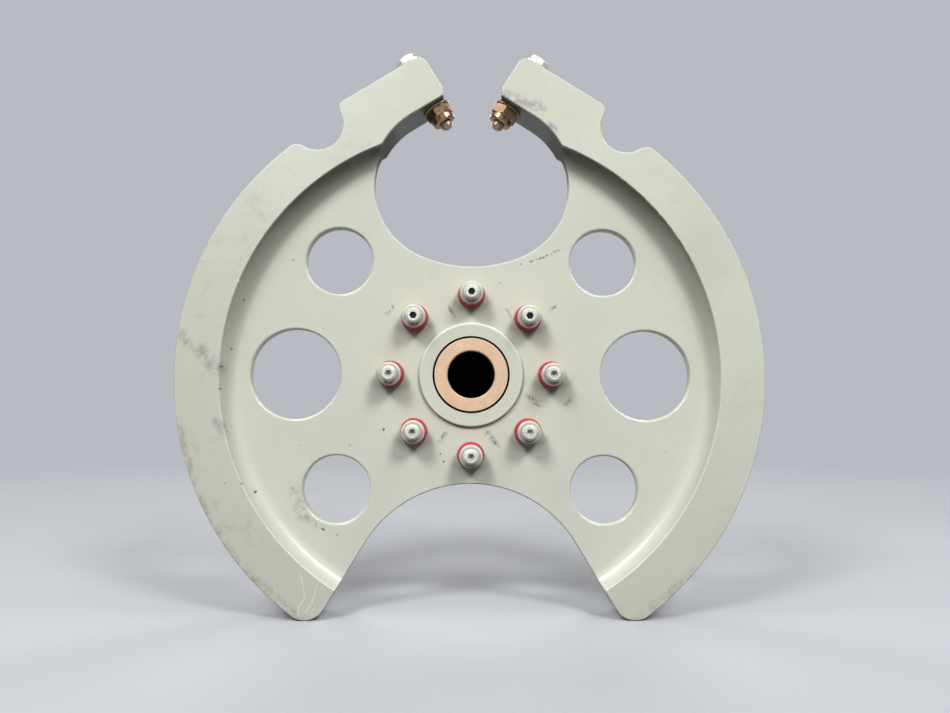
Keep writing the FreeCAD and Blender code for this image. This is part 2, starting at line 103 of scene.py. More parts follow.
class Tree:
    """A material whose nodes are added one call at a time. An input is a value or an output."""

    def __init__(self, name):
        self.material = bpy.data.materials.new(name)
        self.material.use_nodes = True
        self.nodes = self.material.node_tree.nodes
        self.links = self.material.node_tree.links
        self.nodes.clear()
        self.object = self.node("ShaderNodeTexCoord", out="Object")

    def fill(self, node, inputs):
        for key, value in inputs.items():
            if isinstance(value, bpy.types.NodeSocket):
                self.links.new(value, node.inputs[key])
            else:
                node.inputs[key].default_value = value

    def node(self, kind, inputs=None, out=0, **settings):
        node = self.nodes.new(kind)
        for key, value in settings.items():
            setattr(node, key, value)
        self.fill(node, inputs or {})
        return node.outputs[out] if len(node.outputs) else None

    def math(self, operation, a, b=0.0, clamp=False):
        return self.node("ShaderNodeMath", {0: a, 1: b}, operation=operation, use_clamp=clamp)

    def vector(self, operation, a, b=(0.0, 0.0, 0.0), out="Vector"):
        return self.node("ShaderNodeVectorMath", {0: a, 1: b}, out=out, operation=operation)

    def combine(self, x, y=0.0):
        return self.node("ShaderNodeCombineXYZ", {0: x, 1: y})

    def noise(self, scale, detail=3.0, roughness=0.55, where=None, distortion=0.0, out="Fac"):
        return self.node("ShaderNodeTexNoise",
                         {"Vector": where or self.object, "Scale": scale, "Detail": detail,
                          "Roughness": roughness, "Distortion": distortion}, out=out)

    def fade(self, value, low, high, start=0.0, end=1.0):
        """Smooth step from start to end as a value goes from low to high."""
        return self.node("ShaderNodeMapRange",
                         {"Value": value, "From Min": low, "From Max": high,
                          "To Min": start, "To Max": end},
                         out="Result", interpolation_type="SMOOTHSTEP")

    def reach(self, length, low, high, start=0.0, end=1.0):
        """The same for a length, with low and high in mm."""
        return self.fade(length, low * MM, high * MM, start, end)

    def mix(self, factor, a, b):
        node = self.nodes.new("ShaderNodeMix")
        node.data_type = "RGBA"
        node.clamp_factor = True
        self.fill(node, {0: factor, 6: a, 7: b})
        return node.outputs[2]

    def tint(self, color, shade, *masks):
        """A colour turned towards a display colour as far as the product of the masks says."""
        return self.mix(self.product(*masks), color, srgb(*shade))

    def xyz(self, vector=None):
        node = self.nodes.new("ShaderNodeSeparateXYZ")
        self.links.new(vector or self.object, node.inputs[0])
        return node.outputs[0], node.outputs[1], node.outputs[2]

    def product(self, *values):
        result = values[0]
        for value in values[1:]:
            result = self.math("MULTIPLY", result, value)
        return result

    def total(self, *values):
        result = values[0]
        for value in values[1:]:
            result = self.math("ADD", result, value)
        return result

    def flat(self):
        """Place on the plate's plane, with the depth set to nothing."""
        return self.vector("MULTIPLY", self.object, (1.0, 0.0, 1.0))

    def length(self, vector):
        return self.vector("LENGTH", vector, out="Value")

    def shaken(self, place, scale, detail, amount):
        """A place on the plate's plane, moved about by noise by up to half an amount in mm."""
        cloud = self.noise(scale, detail, 0.5, out="Color")
        offset = self.vector("SUBTRACT", cloud, (0.5, 0.5, 0.5))
        return self.vector("ADD", place,
                           self.vector("MULTIPLY", offset, (amount * MM, 0.0, amount * MM)))

    def bump(self, *layers):
        """Layers of (height in mm, output) added up as one bump."""
        heights = [self.math("MULTIPLY", output, depth) for depth, output in layers]
        return self.node("ShaderNodeBump",
                         {"Strength": 1.0, "Distance": MM, "Height": self.total(*heights)},
                         out="Normal")

    def turn(self, radius):
        """How far the surface turns within a radius in mm: nothing on flat faces, more at edges."""
        rounded = self.node("ShaderNodeBevel", {"Radius": radius * MM}, samples=5)
        flat = self.node("ShaderNodeNewGeometry", out="True Normal")
        alike = self.vector("DOT_PRODUCT", rounded, flat, out="Value")
        return self.math("SUBTRACT", 1.0, alike)

    def edge(self, radius, low=0.02, high=0.14):
        return self.fade(self.turn(radius), low, high)

    def corner(self, distance, low, high):
        """One deep in corners and hollows, nothing in the open."""
        open_part = self.node("ShaderNodeAmbientOcclusion", {"Distance": distance * MM}, out="AO",
                              samples=5)
        return self.fade(open_part, low, high, 1.0, 0.0)

    def marks(self, place, strokes):
        """Distance to the nearest of some strokes, in units of each one's half width."""
        nearest = None
        for x0, z0, x1, z1, half in strokes:
            run = Vector((x1 - x0, 0, z1 - z0)) * MM
            offset = self.vector("SUBTRACT", place, (x0 * MM, 0.0, z0 * MM))
            if run.length:
                share = self.vector("DOT_PRODUCT", offset, tuple(run / run.length_squared),
                                    out="Value")
                share = self.math("MULTIPLY", share, 1.0, clamp=True)
                step = self.node("ShaderNodeVectorMath", {0: tuple(run), "Scale": share},
                                 operation="SCALE")
                offset = self.vector("SUBTRACT", offset, step)
            away = self.math("DIVIDE", self.length(offset), half * MM)
            nearest = away if nearest is None else self.math("MINIMUM", nearest, away)
        return nearest

    def finish(self, color, roughness, normal, metallic=0.0, specular=0.5, coat=0.0,
               coat_roughness=0.2):
        surface = self.node("ShaderNodeBsdfPrincipled",
                            {"Base Color": color, "Roughness": roughness, "Normal": normal,
                             "Metallic": metallic, "Specular IOR Level": specular,
                             "Coat Weight": coat, "Coat Roughness": coat_roughness}, out="BSDF")
        self.node("ShaderNodeOutputMaterial", {"Surface": surface})
        return self.material


def srgb(r, g, b):
    """Linear colour with alpha from a display colour of 0 to 255."""
    linear = [((c / 255 + 0.055) / 1.055) ** 2.4 if c > 10 else c / 255 / 12.92
              for c in (r, g, b)]
    return (*linear, 1.0)


# Wear that the photograph shows on the front, as strokes of x, z, x, z and half width in mm

SCRATCHES = [
    (-9.7, 28.1, -6.6, 23.8, 0.55), (14.7, 25.9, 15.7, 23.1, 0.50),
    (23.0, -8.5, 27.0, -12.5, 0.60), (38.3, -12.0, 40.3, -10.4, 0.50),
    (-12.0, -27.5, -9.6, -22.3, 0.70), (6.9, -23.4, 10.9, -28.2, 0.85),
    (32.7, 26.5, 34.4, 28.5, 0.45), (-34.2, 24.0, -31.9, 27.6, 0.45),
    (-19.5, 21.0, -17.2, 18.8, 0.50)]
DARK_DOTS = [
    (-34.9, -22.1, -34.9, -22.1, 0.55), (-12.1, -31.8, -12.1, -31.8, 0.45),
    (-10.8, -34.9, -10.8, -34.9, 0.40), (11.7, 37.4, 11.7, 37.4, 0.32),
    (-59.0, -61.6, -58.4, -61.9, 0.40), (-53.0, -64.0, -53.0, -64.0, 0.35),
    (-91.7, 29.8, -91.6, 29.4, 0.34), (-85.3, -47.0, -85.0, -46.8, 0.50),
    (-96.1, 9.8, -96.1, 9.8, 0.40), (-98.7, 2.6, -98.7, 2.6, 0.40),
    (-98.9, -6.2, -98.9, -6.2, 0.35), (-89.5, -43.3, -89.4, -43.2, 0.30),
    (-95.7, -43.1, -95.7, -43.1, 0.35)]
FAINT_DOTS = [
    (-72.2, 46.2, -72.2, 46.2, 0.60), (-64.1, -39.1, -64.1, -39.1, 0.50),
    (-48.4, -28.4, -48.4, -28.4, 0.50)]
WHITE_SCRATCHES = [
    (-66.0, -77.4, -63.9, -86.9, 0.20), (-63.9, -86.9, -66.6, -90.3, 0.20),
    (-66.6, -90.3, -66.5, -93.8, 0.20), (-59.0, -80.8, -61.2, -88.4, 0.20),
    (-61.2, -88.4, -63.8, -92.6, 0.20), (-92.6, 36.8, -92.4, 36.4, 0.50)]
SMUDGES = [
    (-106.7, 9.0, -100.3, 1.9, 3.4), (-99.4, -19.2, -97.0, -22.3, 2.2),
    (13.1, 112.8, 26.1, 108.4, 2.6), (31.3, 100.6, 33.7, 98.6, 1.6),
    (21.0, 110.6, 29.0, 107.2, 1.5)]
GRIME = [
    (-113.8, 15.3, -111.5, 11.3, 2.4), (-113.6, -22.0, -108.0, -43.0, 1.6),
    (-106.0, -48.5, -90.5, -73.5, 1.9), (-87.0, -78.0, -62.0, -97.5, 2.2),
    (-70.5, -46.0, -66.5, -56.0, 3.0), (-66.5, -56.0, -60.0, -60.5, 1.8),
    (88.0, -76.5, 64.0, -96.0, 1.8)]
BROWN_SPOTS = [
    (23.8, 46.1, 30.0, 48.2, 0.45), (30.8, 48.8, 36.1, 51.1, 0.50),
    (20.0, 45.2, 20.4, 45.2, 0.40)]


# Materials. Colours are display colours of 0 to 255

def around_pins(t):
    """Distance from the nearest flange pin's axis, how far outward of it and how far above it.
    The ring's wedges are folded onto one."""
    x, _, z = t.xyz()
    angle = t.math("ARCTAN2", x, z)
    wedge = 2 * math.pi / PIN_COUNT
    folded = t.math("FLOORED_MODULO", t.math("ADD", angle, wedge / 2), wedge)
    turn = t.math("SUBTRACT", folded, wedge / 2)
    radius = t.length(t.flat())
    along = t.math("MULTIPLY", radius, t.math("COSINE", turn))
    outward = t.math("SUBTRACT", along, PIN_CIRCLE * MM)
    aside = t.math("MULTIPLY", radius, t.math("SINE", turn))
    pin_angle = t.math("SUBTRACT", angle, turn)
    pin_z = t.math("MULTIPLY", t.math("COSINE", pin_angle), PIN_CIRCLE * MM)
    return t.length(t.combine(outward, aside)), outward, t.math("SUBTRACT", z, pin_z)


def green_paint(name, hub=False):
    """Satin grey-green enamel with specks, soft dirt, painted highlights on the edges, dirt and
    painted shade in corners, painted shade on the walls round the cut-out and under the rim, and
    painted light on the front within the rim. The plate's front also gets the wear that the
    photograph shows and a painted shadow below each collar, and the hub a turned end and a bore
    painted black for shade."""
    t = Tree(name)
    x, y, z = t.xyz()
    flat = t.flat()
    radius = t.length(flat)
    front = t.math("LESS_THAN", y, -1.0 * MM)
    cloud = t.noise(14.0, 4.0, 0.6)
    patch = t.noise(55.0, 4.0, 0.65, distortion=0.6)
    fine = t.noise(420.0, 3.0, 0.6)
    grit = t.noise(1500.0, 2.0, 0.5)

    color = t.mix(t.fade(cloud, 0.35, 0.68), srgb(203, 205, 189), srgb(211, 215, 200))
    color = t.tint(color, (193, 192, 174), t.fade(patch, 0.50, 0.75), 0.35)
    # Painted shade: greyer towards the bottom, more so on the left
    color = t.tint(color, (190, 192, 180), t.reach(z, 20.0, -110.0, 0.0, 0.30),
                   t.reach(x, -30.0, 50.0, 1.0, 0.3))
    color = t.tint(color, (176, 172, 152), t.fade(fine, 0.56, 0.74), 0.16)
    color = t.tint(color, (150, 146, 130), t.fade(grit, 0.66, 0.76), 0.25)

    # Corners darkened as dirt and painted shade, painted shade on the walls round the cut-out and
    # in a band under the rim, painted light on the front within the rim, and handling dirt
    corner = t.product(t.corner(3.0, 0.45, 0.85), t.fade(patch, 0.30, 0.60, 0.35, 1.0))
    color = t.tint(color, (134, 122, 98), corner, 0.42)
    # Painted shade on the walls round the cut-out that face sideways or down
    _, facing_y, facing_z = t.xyz(t.node("ShaderNodeNewGeometry", out="True Normal"))
    wall = t.fade(t.math("ABSOLUTE", facing_y), 0.75, 0.35)
    cut_out_shade = t.product(wall, t.reach(t.math("ABSOLUTE", x), 42.0, 39.0),
                        t.reach(z, 50.0, 84.0), t.reach(radius, 128.0, 120.0),
                        t.fade(facing_z, 0.25, -0.15))
    color = t.tint(color, (62, 61, 51), cut_out_shade, 0.86)
    # Painted light: the front within the rim is lighter, less so towards the top
    lit_web = t.product(front, t.reach(radius, RIM_INNER, RIM_INNER - 4.0),
                    t.reach(z, 60.0, 25.0, 0.35, 1.0))
    color = t.tint(color, (220, 224, 208), lit_web, 0.40)
    # Painted shadow in a band just within the rim, strongest towards the top
    rim_shadow = t.product(front, t.reach(radius, 87.0, RIM_INNER - 0.5),
                          t.reach(radius, RIM_INNER + 0.35, RIM_INNER - 0.05),
                          t.reach(z, -20.0, 88.0), t.fade(cloud, 0.30, 0.60, 0.75, 1.0))
    color = t.tint(color, (80, 76, 60), rim_shadow, 0.84)
    rim_dirt = t.product(front, t.reach(radius, RIM_INNER - 1.0, RIM_INNER + 2.0),
                         t.fade(t.noise(75.0, 5.0, 0.7, distortion=1.2), 0.52, 0.78),
                         t.reach(x, 30.0, -60.0, 0.25, 1.0))
    color = t.tint(color, (150, 146, 134), rim_dirt, 0.34)

    # Edges whitened as chalky paint and painted highlight, chipped paint on them, and specks all
    # over
    turn = t.turn(0.55)
    color = t.tint(color, (250, 252, 246), t.fade(turn, 0.02, 0.14),
                   t.fade(fine, 0.30, 0.60, 0.6, 1.0), 0.35 if hub else 1.0)
    chips = t.product(t.fade(turn, 0.01, 0.06), t.fade(t.noise(260.0, 3.0, 0.7), 0.62, 0.70))
    color = t.tint(color, (128, 108, 88), chips, 0.5)
    cells = t.nodes.new("ShaderNodeTexVoronoi")
    t.fill(cells, {"Vector": t.object, "Scale": 150.0})
    chosen = t.fade(t.xyz(cells.outputs["Color"])[0], 0.74, 0.78)
    color = t.tint(color, (108, 98, 86), t.fade(cells.outputs["Distance"], 0.055, 0.030),
                   chosen, 0.6)

    if hub:
        color, depth, gloss = hub_ends(t, color, y, z, radius, front)
    else:
        color, depth = plate_wear(t, color, x, z, flat, radius, front, fine, patch)
        gloss = {"coat": 0.25}
    roughness = t.total(t.fade(patch, 0.3, 0.7, 0.30, 0.40), t.fade(fine, 0.4, 0.7, -0.02, 0.05),
                        t.math("MULTIPLY", corner, 0.2))
    normal = t.bump((0.030, t.noise(330.0, 2.0, 0.5)), (0.006, fine), (0.003, grit), *depth)
    return t.finish(color, roughness, normal, specular=0.45, coat_roughness=0.16, **gloss)


def plate_wear(t, color, x, z, flat, radius, front, fine, patch):
    """Smudges, grime, spots and scratches where the photograph shows them on the plate, and a
    painted shadow below each collar. Gives the colour and the marks' depths."""
    place = t.shaken(flat, 900.0, 3.0, 0.9)

    def stroke(strokes, core, soft):
        return t.product(front, t.fade(t.marks(place, strokes), core, soft, 1.0, 0.0))

    color = t.tint(color, (138, 133, 140), stroke(SMUDGES, 0.1, 1.3),
                   t.fade(t.noise(240.0, 4.0, 0.7), 0.36, 0.62), 0.70)
    # Painted shadow below each collar, on the front
    from_pin, _, above = around_pins(t)
    color = t.tint(color, (104, 103, 86), front, t.reach(from_pin, 10.5, 5.6),
                   t.reach(above, 0.5, -5.0), t.fade(fine, 0.20, 0.60, 0.7, 1.0), 0.62)
    color = t.tint(color, (130, 116, 92), stroke(GRIME, 0.1, 1.4),
                   t.fade(t.noise(260.0, 5.0, 0.8), 0.38, 0.66), 0.56)
    color = t.tint(color, (112, 80, 54), stroke(BROWN_SPOTS, 0.5, 1.3),
                   t.fade(t.noise(1100.0, 2.0, 0.6), 0.45, 0.55), 0.8)
    color = t.tint(color, (140, 118, 96), stroke(FAINT_DOTS, 0.5, 1.3), 0.5)

    # Scratches wander and break up, with a haze round them
    scratch = t.marks(t.shaken(place, 420.0, 2.0, 4.2), SCRATCHES)
    haze = t.product(front, t.fade(scratch, 0.4, 3.0, 1.0, 0.0), t.fade(fine, 0.35, 0.60))
    color = t.tint(color, (136, 134, 144), haze, 0.22)
    dark = t.product(front, t.fade(scratch, 0.2, 1.3, 1.0, 0.0),
                     t.fade(t.noise(1300.0, 3.0, 0.75), 0.46, 0.56))
    color = t.tint(color, (78, 78, 94), dark, 0.75)
    dots = stroke(DARK_DOTS, 0.55, 1.2)
    color = t.tint(color, (52, 54, 58), dots, 0.85)
    white = stroke(WHITE_SCRATCHES, 0.4, 1.3)
    color = t.tint(color, (240, 242, 237), white, t.fade(fine, 0.30, 0.50, 0.3, 1.0), 0.75)

    # A brown line along the rim's inner edge on the upper right, and a brown line round the nose,
    # stronger towards the bottom
    angle = t.math("ARCTAN2", x, z)
    off_line = t.math("ABSOLUTE", t.math("SUBTRACT", radius, (RIM_INNER + 0.15) * MM))
    line = t.product(t.reach(off_line, 0.1, 0.42, 1.0, 0.0),
                     t.fade(angle, math.radians(30), math.radians(36)),
                     t.fade(angle, math.radians(67), math.radians(62)), front,
                     t.fade(t.noise(300.0, 3.0, 0.6), 0.38, 0.60))
    color = t.tint(color, (122, 94, 70), line, 0.62)
    off_nose = t.math("ABSOLUTE", t.math("SUBTRACT", radius, (NOSE_RADIUS + 0.2) * MM))
    nose_line = t.product(t.reach(off_nose, 0.1, 0.55, 1.0, 0.0), front,
                      t.reach(z, 6.0, -9.0, 0.25, 1.0), t.fade(patch, 0.25, 0.60, 0.5, 1.0))
    color = t.tint(color, (124, 92, 66), nose_line, 0.75)
    return color, [(-0.05, dark), (-0.05, dots), (-0.02, white)]


def hub_ends(t, color, y, z, radius, front):
    """A painted highlight on the nose's upper edge, turned rings and a centre mark on the spigot's
    end, and a bore painted black for shade, which throws almost no light back. Gives the
    colour, the marks' depths and the gloss."""
    # Painted highlight on the upper edge of the nose
    nose_highlight = t.product(t.reach(radius, NOSE_RADIUS - 1.2, NOSE_RADIUS - 0.6), front,
                    t.reach(z, 2.0, 14.0))
    color = t.tint(color, (248, 250, 244), nose_highlight, 0.70)
    tool_rings = t.noise(1.0, 2.0, 0.6, where=t.combine(t.math("MULTIPLY", radius, 3600.0)))
    end_face = t.product(t.reach(y, SPIGOT_END - 0.32, SPIGOT_END - 0.12),
                         t.reach(radius, TURNED_END_RADIUS, TURNED_END_RADIUS - 0.4))
    color = t.tint(color, (150, 150, 138), end_face, t.fade(tool_rings, 0.40, 0.65), 0.45)
    centre = t.product(end_face,
                       t.reach(radius, CENTRE_MARK_RADIUS, CENTRE_MARK_RADIUS - 0.3))
    color = t.tint(color, (52, 50, 46), centre, 0.85)
    # Painted shade: the hub's bore, the gap round the bushing with it, painted black, metallic and
    # without coat, so that it throws almost no light back
    bore_shade = t.product(t.reach(radius, BUSHING_RADIUS + 0.62, BUSHING_RADIUS + 0.45),
                       t.reach(y, SPIGOT_END - 2.62, SPIGOT_END - 3.62))
    color = t.tint(color, (12, 11, 10), bore_shade)
    depth = [(0.02, t.product(tool_rings, end_face)), (-0.6, centre)]
    return color, depth, {"coat": t.fade(bore_shade, 0.0, 1.0, 0.25, 0.0),
                          "metallic": t.fade(bore_shade, 0.0, 1.0)}


def bronze():
    """Turned bronze bushing: fine rings on its face, painted highlights on the edges, a bore
    painted dark for shade.
    """
    t = Tree("turned_bronze")
    y = t.xyz()[1]
    radius = t.length(t.flat())
    along = t.math("ADD", radius, t.math("MULTIPLY", t.noise(60.0, 2.0), 0.35 * MM))
    rings = t.noise(1.0, 2.0, 0.6, where=t.combine(t.math("MULTIPLY", along, 5200.0),
                                                   t.math("MULTIPLY", y, 5200.0)))
    cloud = t.noise(160.0, 4.0, 0.65)
    fine = t.noise(1200.0, 3.0, 0.6)
    color = t.mix(t.fade(cloud, 0.35, 0.70), srgb(246, 206, 170), srgb(252, 220, 190))
    color = t.tint(color, (216, 166, 126), t.fade(rings, 0.45, 0.70), 0.30)
    color = t.tint(color, (150, 104, 72), t.fade(fine, 0.62, 0.74), 0.5)
    # Painted shade: the bore painted near-black beyond its mouth
    deep = t.product(t.reach(radius, BORE_RADIUS + 0.525, BORE_RADIUS + 0.225),
                     t.reach(y, -4.2, -1.5))
    color = t.tint(color, (14, 11, 9), deep)
    # Painted highlights on the edges, outside the dark bore
    color = t.tint(color, (250, 230, 206), t.edge(0.4), t.math("SUBTRACT", 1.0, deep))
    seam = t.reach(radius, BUSHING_RADIUS - 0.36, BUSHING_RADIUS - 0.24)
    color = t.tint(color, (22, 17, 14), seam)
    roughness = t.total(t.fade(rings, 0.3, 0.7, 0.30, 0.44), t.math("MULTIPLY", deep, 0.3))
    normal = t.bump((0.010, rings), (0.003, fine))
    return t.finish(color, roughness, normal, metallic=t.fade(deep, 0.0, 1.0, 0.35, 0.0),
                    specular=0.3)


def collar_finish():
    """Swaged collars: red dye on the side, enamel brushed over the foot and the top. The enamel
    goes further up on the side away from the hub."""
    t = Tree("red_collar")
    _, outward, above = around_pins(t)
    y = t.xyz()[1]
    ragged = t.math("MULTIPLY", t.math("SUBTRACT", t.noise(650.0, 4.0, 0.7), 0.5), 1.7 * MM)
    height = t.math("SUBTRACT", t.math("MULTIPLY", y, -1.0), COLLAR_FOOT * MM)
    ragged_height = t.math("ADD", height, ragged)
    raised = t.math("MULTIPLY", t.reach(outward, 1.2, 3.4), 1.8 * MM)
    low, high = COLLAR_BAND
    band = t.product(t.reach(t.math("SUBTRACT", ragged_height, raised), low - 0.15, low + 0.25),
                     t.reach(ragged_height, high + 0.25, high - 0.15))
    cloud = t.noise(380.0, 4.0, 0.65)
    fine = t.noise(1500.0, 3.0, 0.6)
    paint = t.mix(t.fade(cloud, 0.35, 0.70), srgb(208, 209, 192), srgb(226, 228, 214))
    red = t.mix(t.fade(cloud, 0.35, 0.68), srgb(186, 6, 52), srgb(216, 22, 78))
    red = t.tint(red, (226, 84, 120), t.fade(fine, 0.60, 0.74), 0.20)
    # Painted shade: the red darker near the foot and on the side below the pin's centre
    red = t.tint(red, (92, 14, 28), t.reach(height, 1.6, 0.4, 0.0, 0.6))
    red = t.tint(red, (118, 8, 40), t.reach(above, -1.0, -5.0, 0.0, 0.55))
    color = t.mix(band, paint, red)
    # Corners darkened as dirt and painted shade
    corner = t.product(t.corner(1.6, 0.40, 0.90), t.fade(cloud, 0.25, 0.55, 0.4, 1.0))
    color = t.tint(color, (66, 52, 38), corner, 0.95)
    # Painted highlights on the edges outside the red band
    color = t.tint(color, (240, 242, 236), t.edge(0.3), t.math("SUBTRACT", 1.0, band), 0.55)
    roughness = t.math("ADD", t.fade(cloud, 0.3, 0.7, 0.24, 0.42),
                       t.math("MULTIPLY", band, 0.2))
    normal = t.bump((0.030, cloud), (0.006, fine))
    return t.finish(color, roughness, normal, specular=0.3,
                    coat=t.fade(band, 0.0, 1.0, 0.15, 0.04))


def pin_finish():
    """Pins: enamel over the tip, rubbed through to bright metal round its edge with a painted
    highlight there, painted shade in the recess, and dirt and painted shade in the corners.
    """
    t = Tree("pin_paint")
    from_pin = around_pins(t)[0]
    y = t.xyz()[1]
    cloud = t.noise(420.0, 4.0, 0.65)
    fine = t.noise(1600.0, 3.0, 0.6)
    color = t.mix(t.fade(cloud, 0.35, 0.70), srgb(212, 214, 199), srgb(232, 235, 224))
    # The tip's edge rubbed to bright metal and whitened further as a painted highlight
    worn_and_highlit = t.product(t.reach(from_pin, WORN_TIP_RADIUS, WORN_TIP_RADIUS - 0.3),
                     t.reach(y, 0.15 - PIN_TIP, 0.02 - PIN_TIP),
                     t.fade(cloud, 0.25, 0.55, 0.5, 1.0))
    color = t.tint(color, (250, 251, 247), worn_and_highlit, 0.9)
    # Painted shade on the recess walls below the mouth
    recess = t.product(t.reach(from_pin, RECESS_CORNER + 0.08, RECESS_CORNER - 0.04),
                       t.reach(y, 0.10 - PIN_TIP, 0.7 - PIN_TIP))
    color = t.tint(color, (52, 50, 46), recess)
    # Corners darkened as dirt and painted shade
    color = t.tint(color, (70, 58, 44), t.corner(1.6, 0.45, 0.92), 0.95)
    normal = t.bump((0.045, cloud), (0.008, fine))
    return t.finish(color, t.fade(cloud, 0.3, 0.7, 0.18, 0.36), normal,
                    metallic=t.math("MULTIPLY", worn_and_highlit, 0.4), coat=0.3, coat_roughness=0.1)


def plated(name, light, deep, dirt, roughness, metal=0.9, pivot_side_brown=False):
    """Plated steel: cloudy plating, faint tool rings, grime and painted shade in the corners,
    painted highlights on the edges. Some pieces are browner on the side of the ears that faces
    the pivot."""
    t = Tree(name)
    cloud = t.noise(170.0, 3.0, 0.5)
    fine = t.noise(1500.0, 3.0, 0.6)
    streak = t.noise(900.0, 2.0, 0.6, where=t.vector("MULTIPLY", t.object, (1.0, 0.12, 1.0)))
    color = t.mix(t.fade(cloud, 0.28, 0.74), srgb(*light), srgb(*deep))
    color = t.tint(color, dirt, t.fade(fine, 0.64, 0.78), 0.12)
    # Browner on the side of the ears that faces the pivot
    if pivot_side_brown:
        brown = t.mix(t.fade(cloud, 0.35, 0.65), srgb(190, 162, 138), srgb(146, 120, 104))
        color = t.mix(t.reach(t.length(t.flat()), 124.0, 117.0), color, brown)
    # Corners darkened as grime and painted shade
    corner = t.corner(1.2, 0.35, 0.85)
    color = t.tint(color, dirt, corner, 0.7)
    # Painted highlights on the edges
    color = t.tint(color, (250, 246, 238), t.edge(0.20, 0.06, 0.20), 0.35)
    roughness = t.total(t.fade(streak, 0.3, 0.7, *roughness), t.math("MULTIPLY", corner, 0.25))
    normal = t.bump((0.004, streak), (0.001, fine))
    return t.finish(color, roughness, normal, metallic=metal)


def recess_finish():
    """Enamel pooled in a recess, with dirt settled in its middle."""
    t = Tree("recess_paint")
    from_pin = around_pins(t)[0]
    cloud = t.noise(520.0, 4.0, 0.7)
    color = t.mix(t.fade(cloud, 0.35, 0.70), srgb(176, 174, 154), srgb(208, 210, 194))
    ragged = t.math("MULTIPLY", t.math("SUBTRACT", cloud, 0.5), 0.9 * MM)
    dirt = t.reach(t.math("ADD", from_pin, ragged), 0.95, 0.25)
    color = t.tint(color, (66, 56, 44), dirt, 0.85)
    return t.finish(color, t.fade(cloud, 0.3, 0.7, 0.25, 0.45), t.bump((0.03, cloud)))


FINISHES = {
    "sector_plate": green_paint("green_paint"),
    "flanged_hub": green_paint("hub_paint", hub=True),
    "pivot_bushing": bronze(),
    "flange_pin": pin_finish(),
    "pin_collar": collar_finish(),
    "lock_nut": plated("gold_plated_steel", (176, 144, 114), (136, 108, 86), (58, 40, 30),
                       (0.18, 0.28)),
}
STEEL = plated("plated_steel", (252, 249, 246), (240, 230, 224), (150, 122, 104), (0.26, 0.38),
               metal=0.6, pivot_side_brown=True)
for node_name, node in frame["nodes"].items():
    found = [finish for part_name, finish in FINISHES.items() if part_name in node_name]
    for material_slot in node.material_slots:
        material_slot.material = found[0] if found else STEEL


# Small pieces that the part leaves out

def new_piece(name, mesh, material, smooth):
    """Closes a mesh's work and adds it as a piece on the part's one body."""
    bmesh.ops.recalc_face_normals(mesh, faces=mesh.faces)
    data = bpy.data.meshes.new(name)
    mesh.to_mesh(data)
    mesh.free()
    for face in data.polygons:
        face.use_smooth = smooth
    data.materials.append(material)
    piece = bpy.data.objects.new(name, data)
    bpy.context.scene.collection.objects.link(piece)
    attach(piece, next(iter(frame["bodies"])))


def bridge(mesh, a, b):
    """Faces between two closed rows of corners."""
    for k in range(len(a)):
        following = (k + 1) % len(a)
        mesh.faces.new((a[k], a[following], b[following], b[k]))


def ear_place(side, distance):
    """Matrix that puts a piece built along +Z, pointing to the pivot, on an ear bolt's axis."""
    normal = Vector((math.cos(EAR_ANGLE), 0, math.sin(EAR_ANGLE)))
    along = Vector((-normal.z, 0, normal.x))
    place = (normal * distance + along * BOLT_REACH) * MM
    place.x *= side
    inward = Vector((-side * normal.x, 0, -normal.z))
    return Matrix.Translation(place) @ inward.to_track_quat("Z", "Y").to_matrix().to_4x4()


def thread(matrix, length):
    """Helical ridge standing on a bolt's stub, tapered at both ends."""
    mesh = bmesh.new()
    count = length / THREAD_PITCH * THREAD_STEPS
    root = BOLT_RADIUS - 0.05
    rows = []
    for i in range(int(count) + 1):
        angle = 2 * math.pi * i / THREAD_STEPS
        climb = i / THREAD_STEPS * THREAD_PITCH
        taper = min(1.0, i / THREAD_TAPER, (count - i) / THREAD_TAPER)
        crest = BOLT_RADIUS + THREAD_HEIGHT * max(taper, 0.02)
        profile = ((root, -0.30), (crest, -0.06), (crest, 0.06), (root, 0.30))
        points = [Vector((r * math.cos(angle), r * math.sin(angle), climb + lift)) * MM
                  for r, lift in profile]
        rows.append([mesh.verts.new(matrix @ point) for point in points])
    for a, b in zip(rows, rows[1:]):
        bridge(mesh, a, b)
    mesh.faces.new(rows[0])
    mesh.faces.new(reversed(rows[-1]))
    return mesh


def recess_fill(x, z, depth):
    """Paint lying in a pin's recess: a hexagonal plug with a dished face."""
    mesh = bmesh.new()
    corner = RECESS_CORNER - 0.01
    rings = []
    for share, fall in ((1.0, 0.0), (0.80, 0.45), (0.50, 0.85), (0.20, 1.0)):
        y = depth - PIN_TIP + FILL_DISH * fall
        ring = []
        for k in range(FILL_SIDES):
            angle = 2 * math.pi * k / FILL_SIDES
            fold = (angle + math.pi / 6) % (math.pi / 3) - math.pi / 6
            hexagon = corner * math.cos(math.pi / 6) / math.cos(fold)
            reach = hexagon if share == 1.0 else corner * 0.92 * share
            ring.append(mesh.verts.new(
                Vector((x + reach * math.sin(angle), y, z + reach * math.cos(angle))) * MM))
        rings.append(ring)
    back = [mesh.verts.new(v.co + Vector((0, (FILL_DISH + 0.4) * MM, 0))) for v in rings[0]]
    for a, b in list(zip(rings, rings[1:])) + [(back, rings[0])]:
        bridge(mesh, a, b)
    mesh.faces.new(rings[-1])
    mesh.faces.new(back)
    return mesh


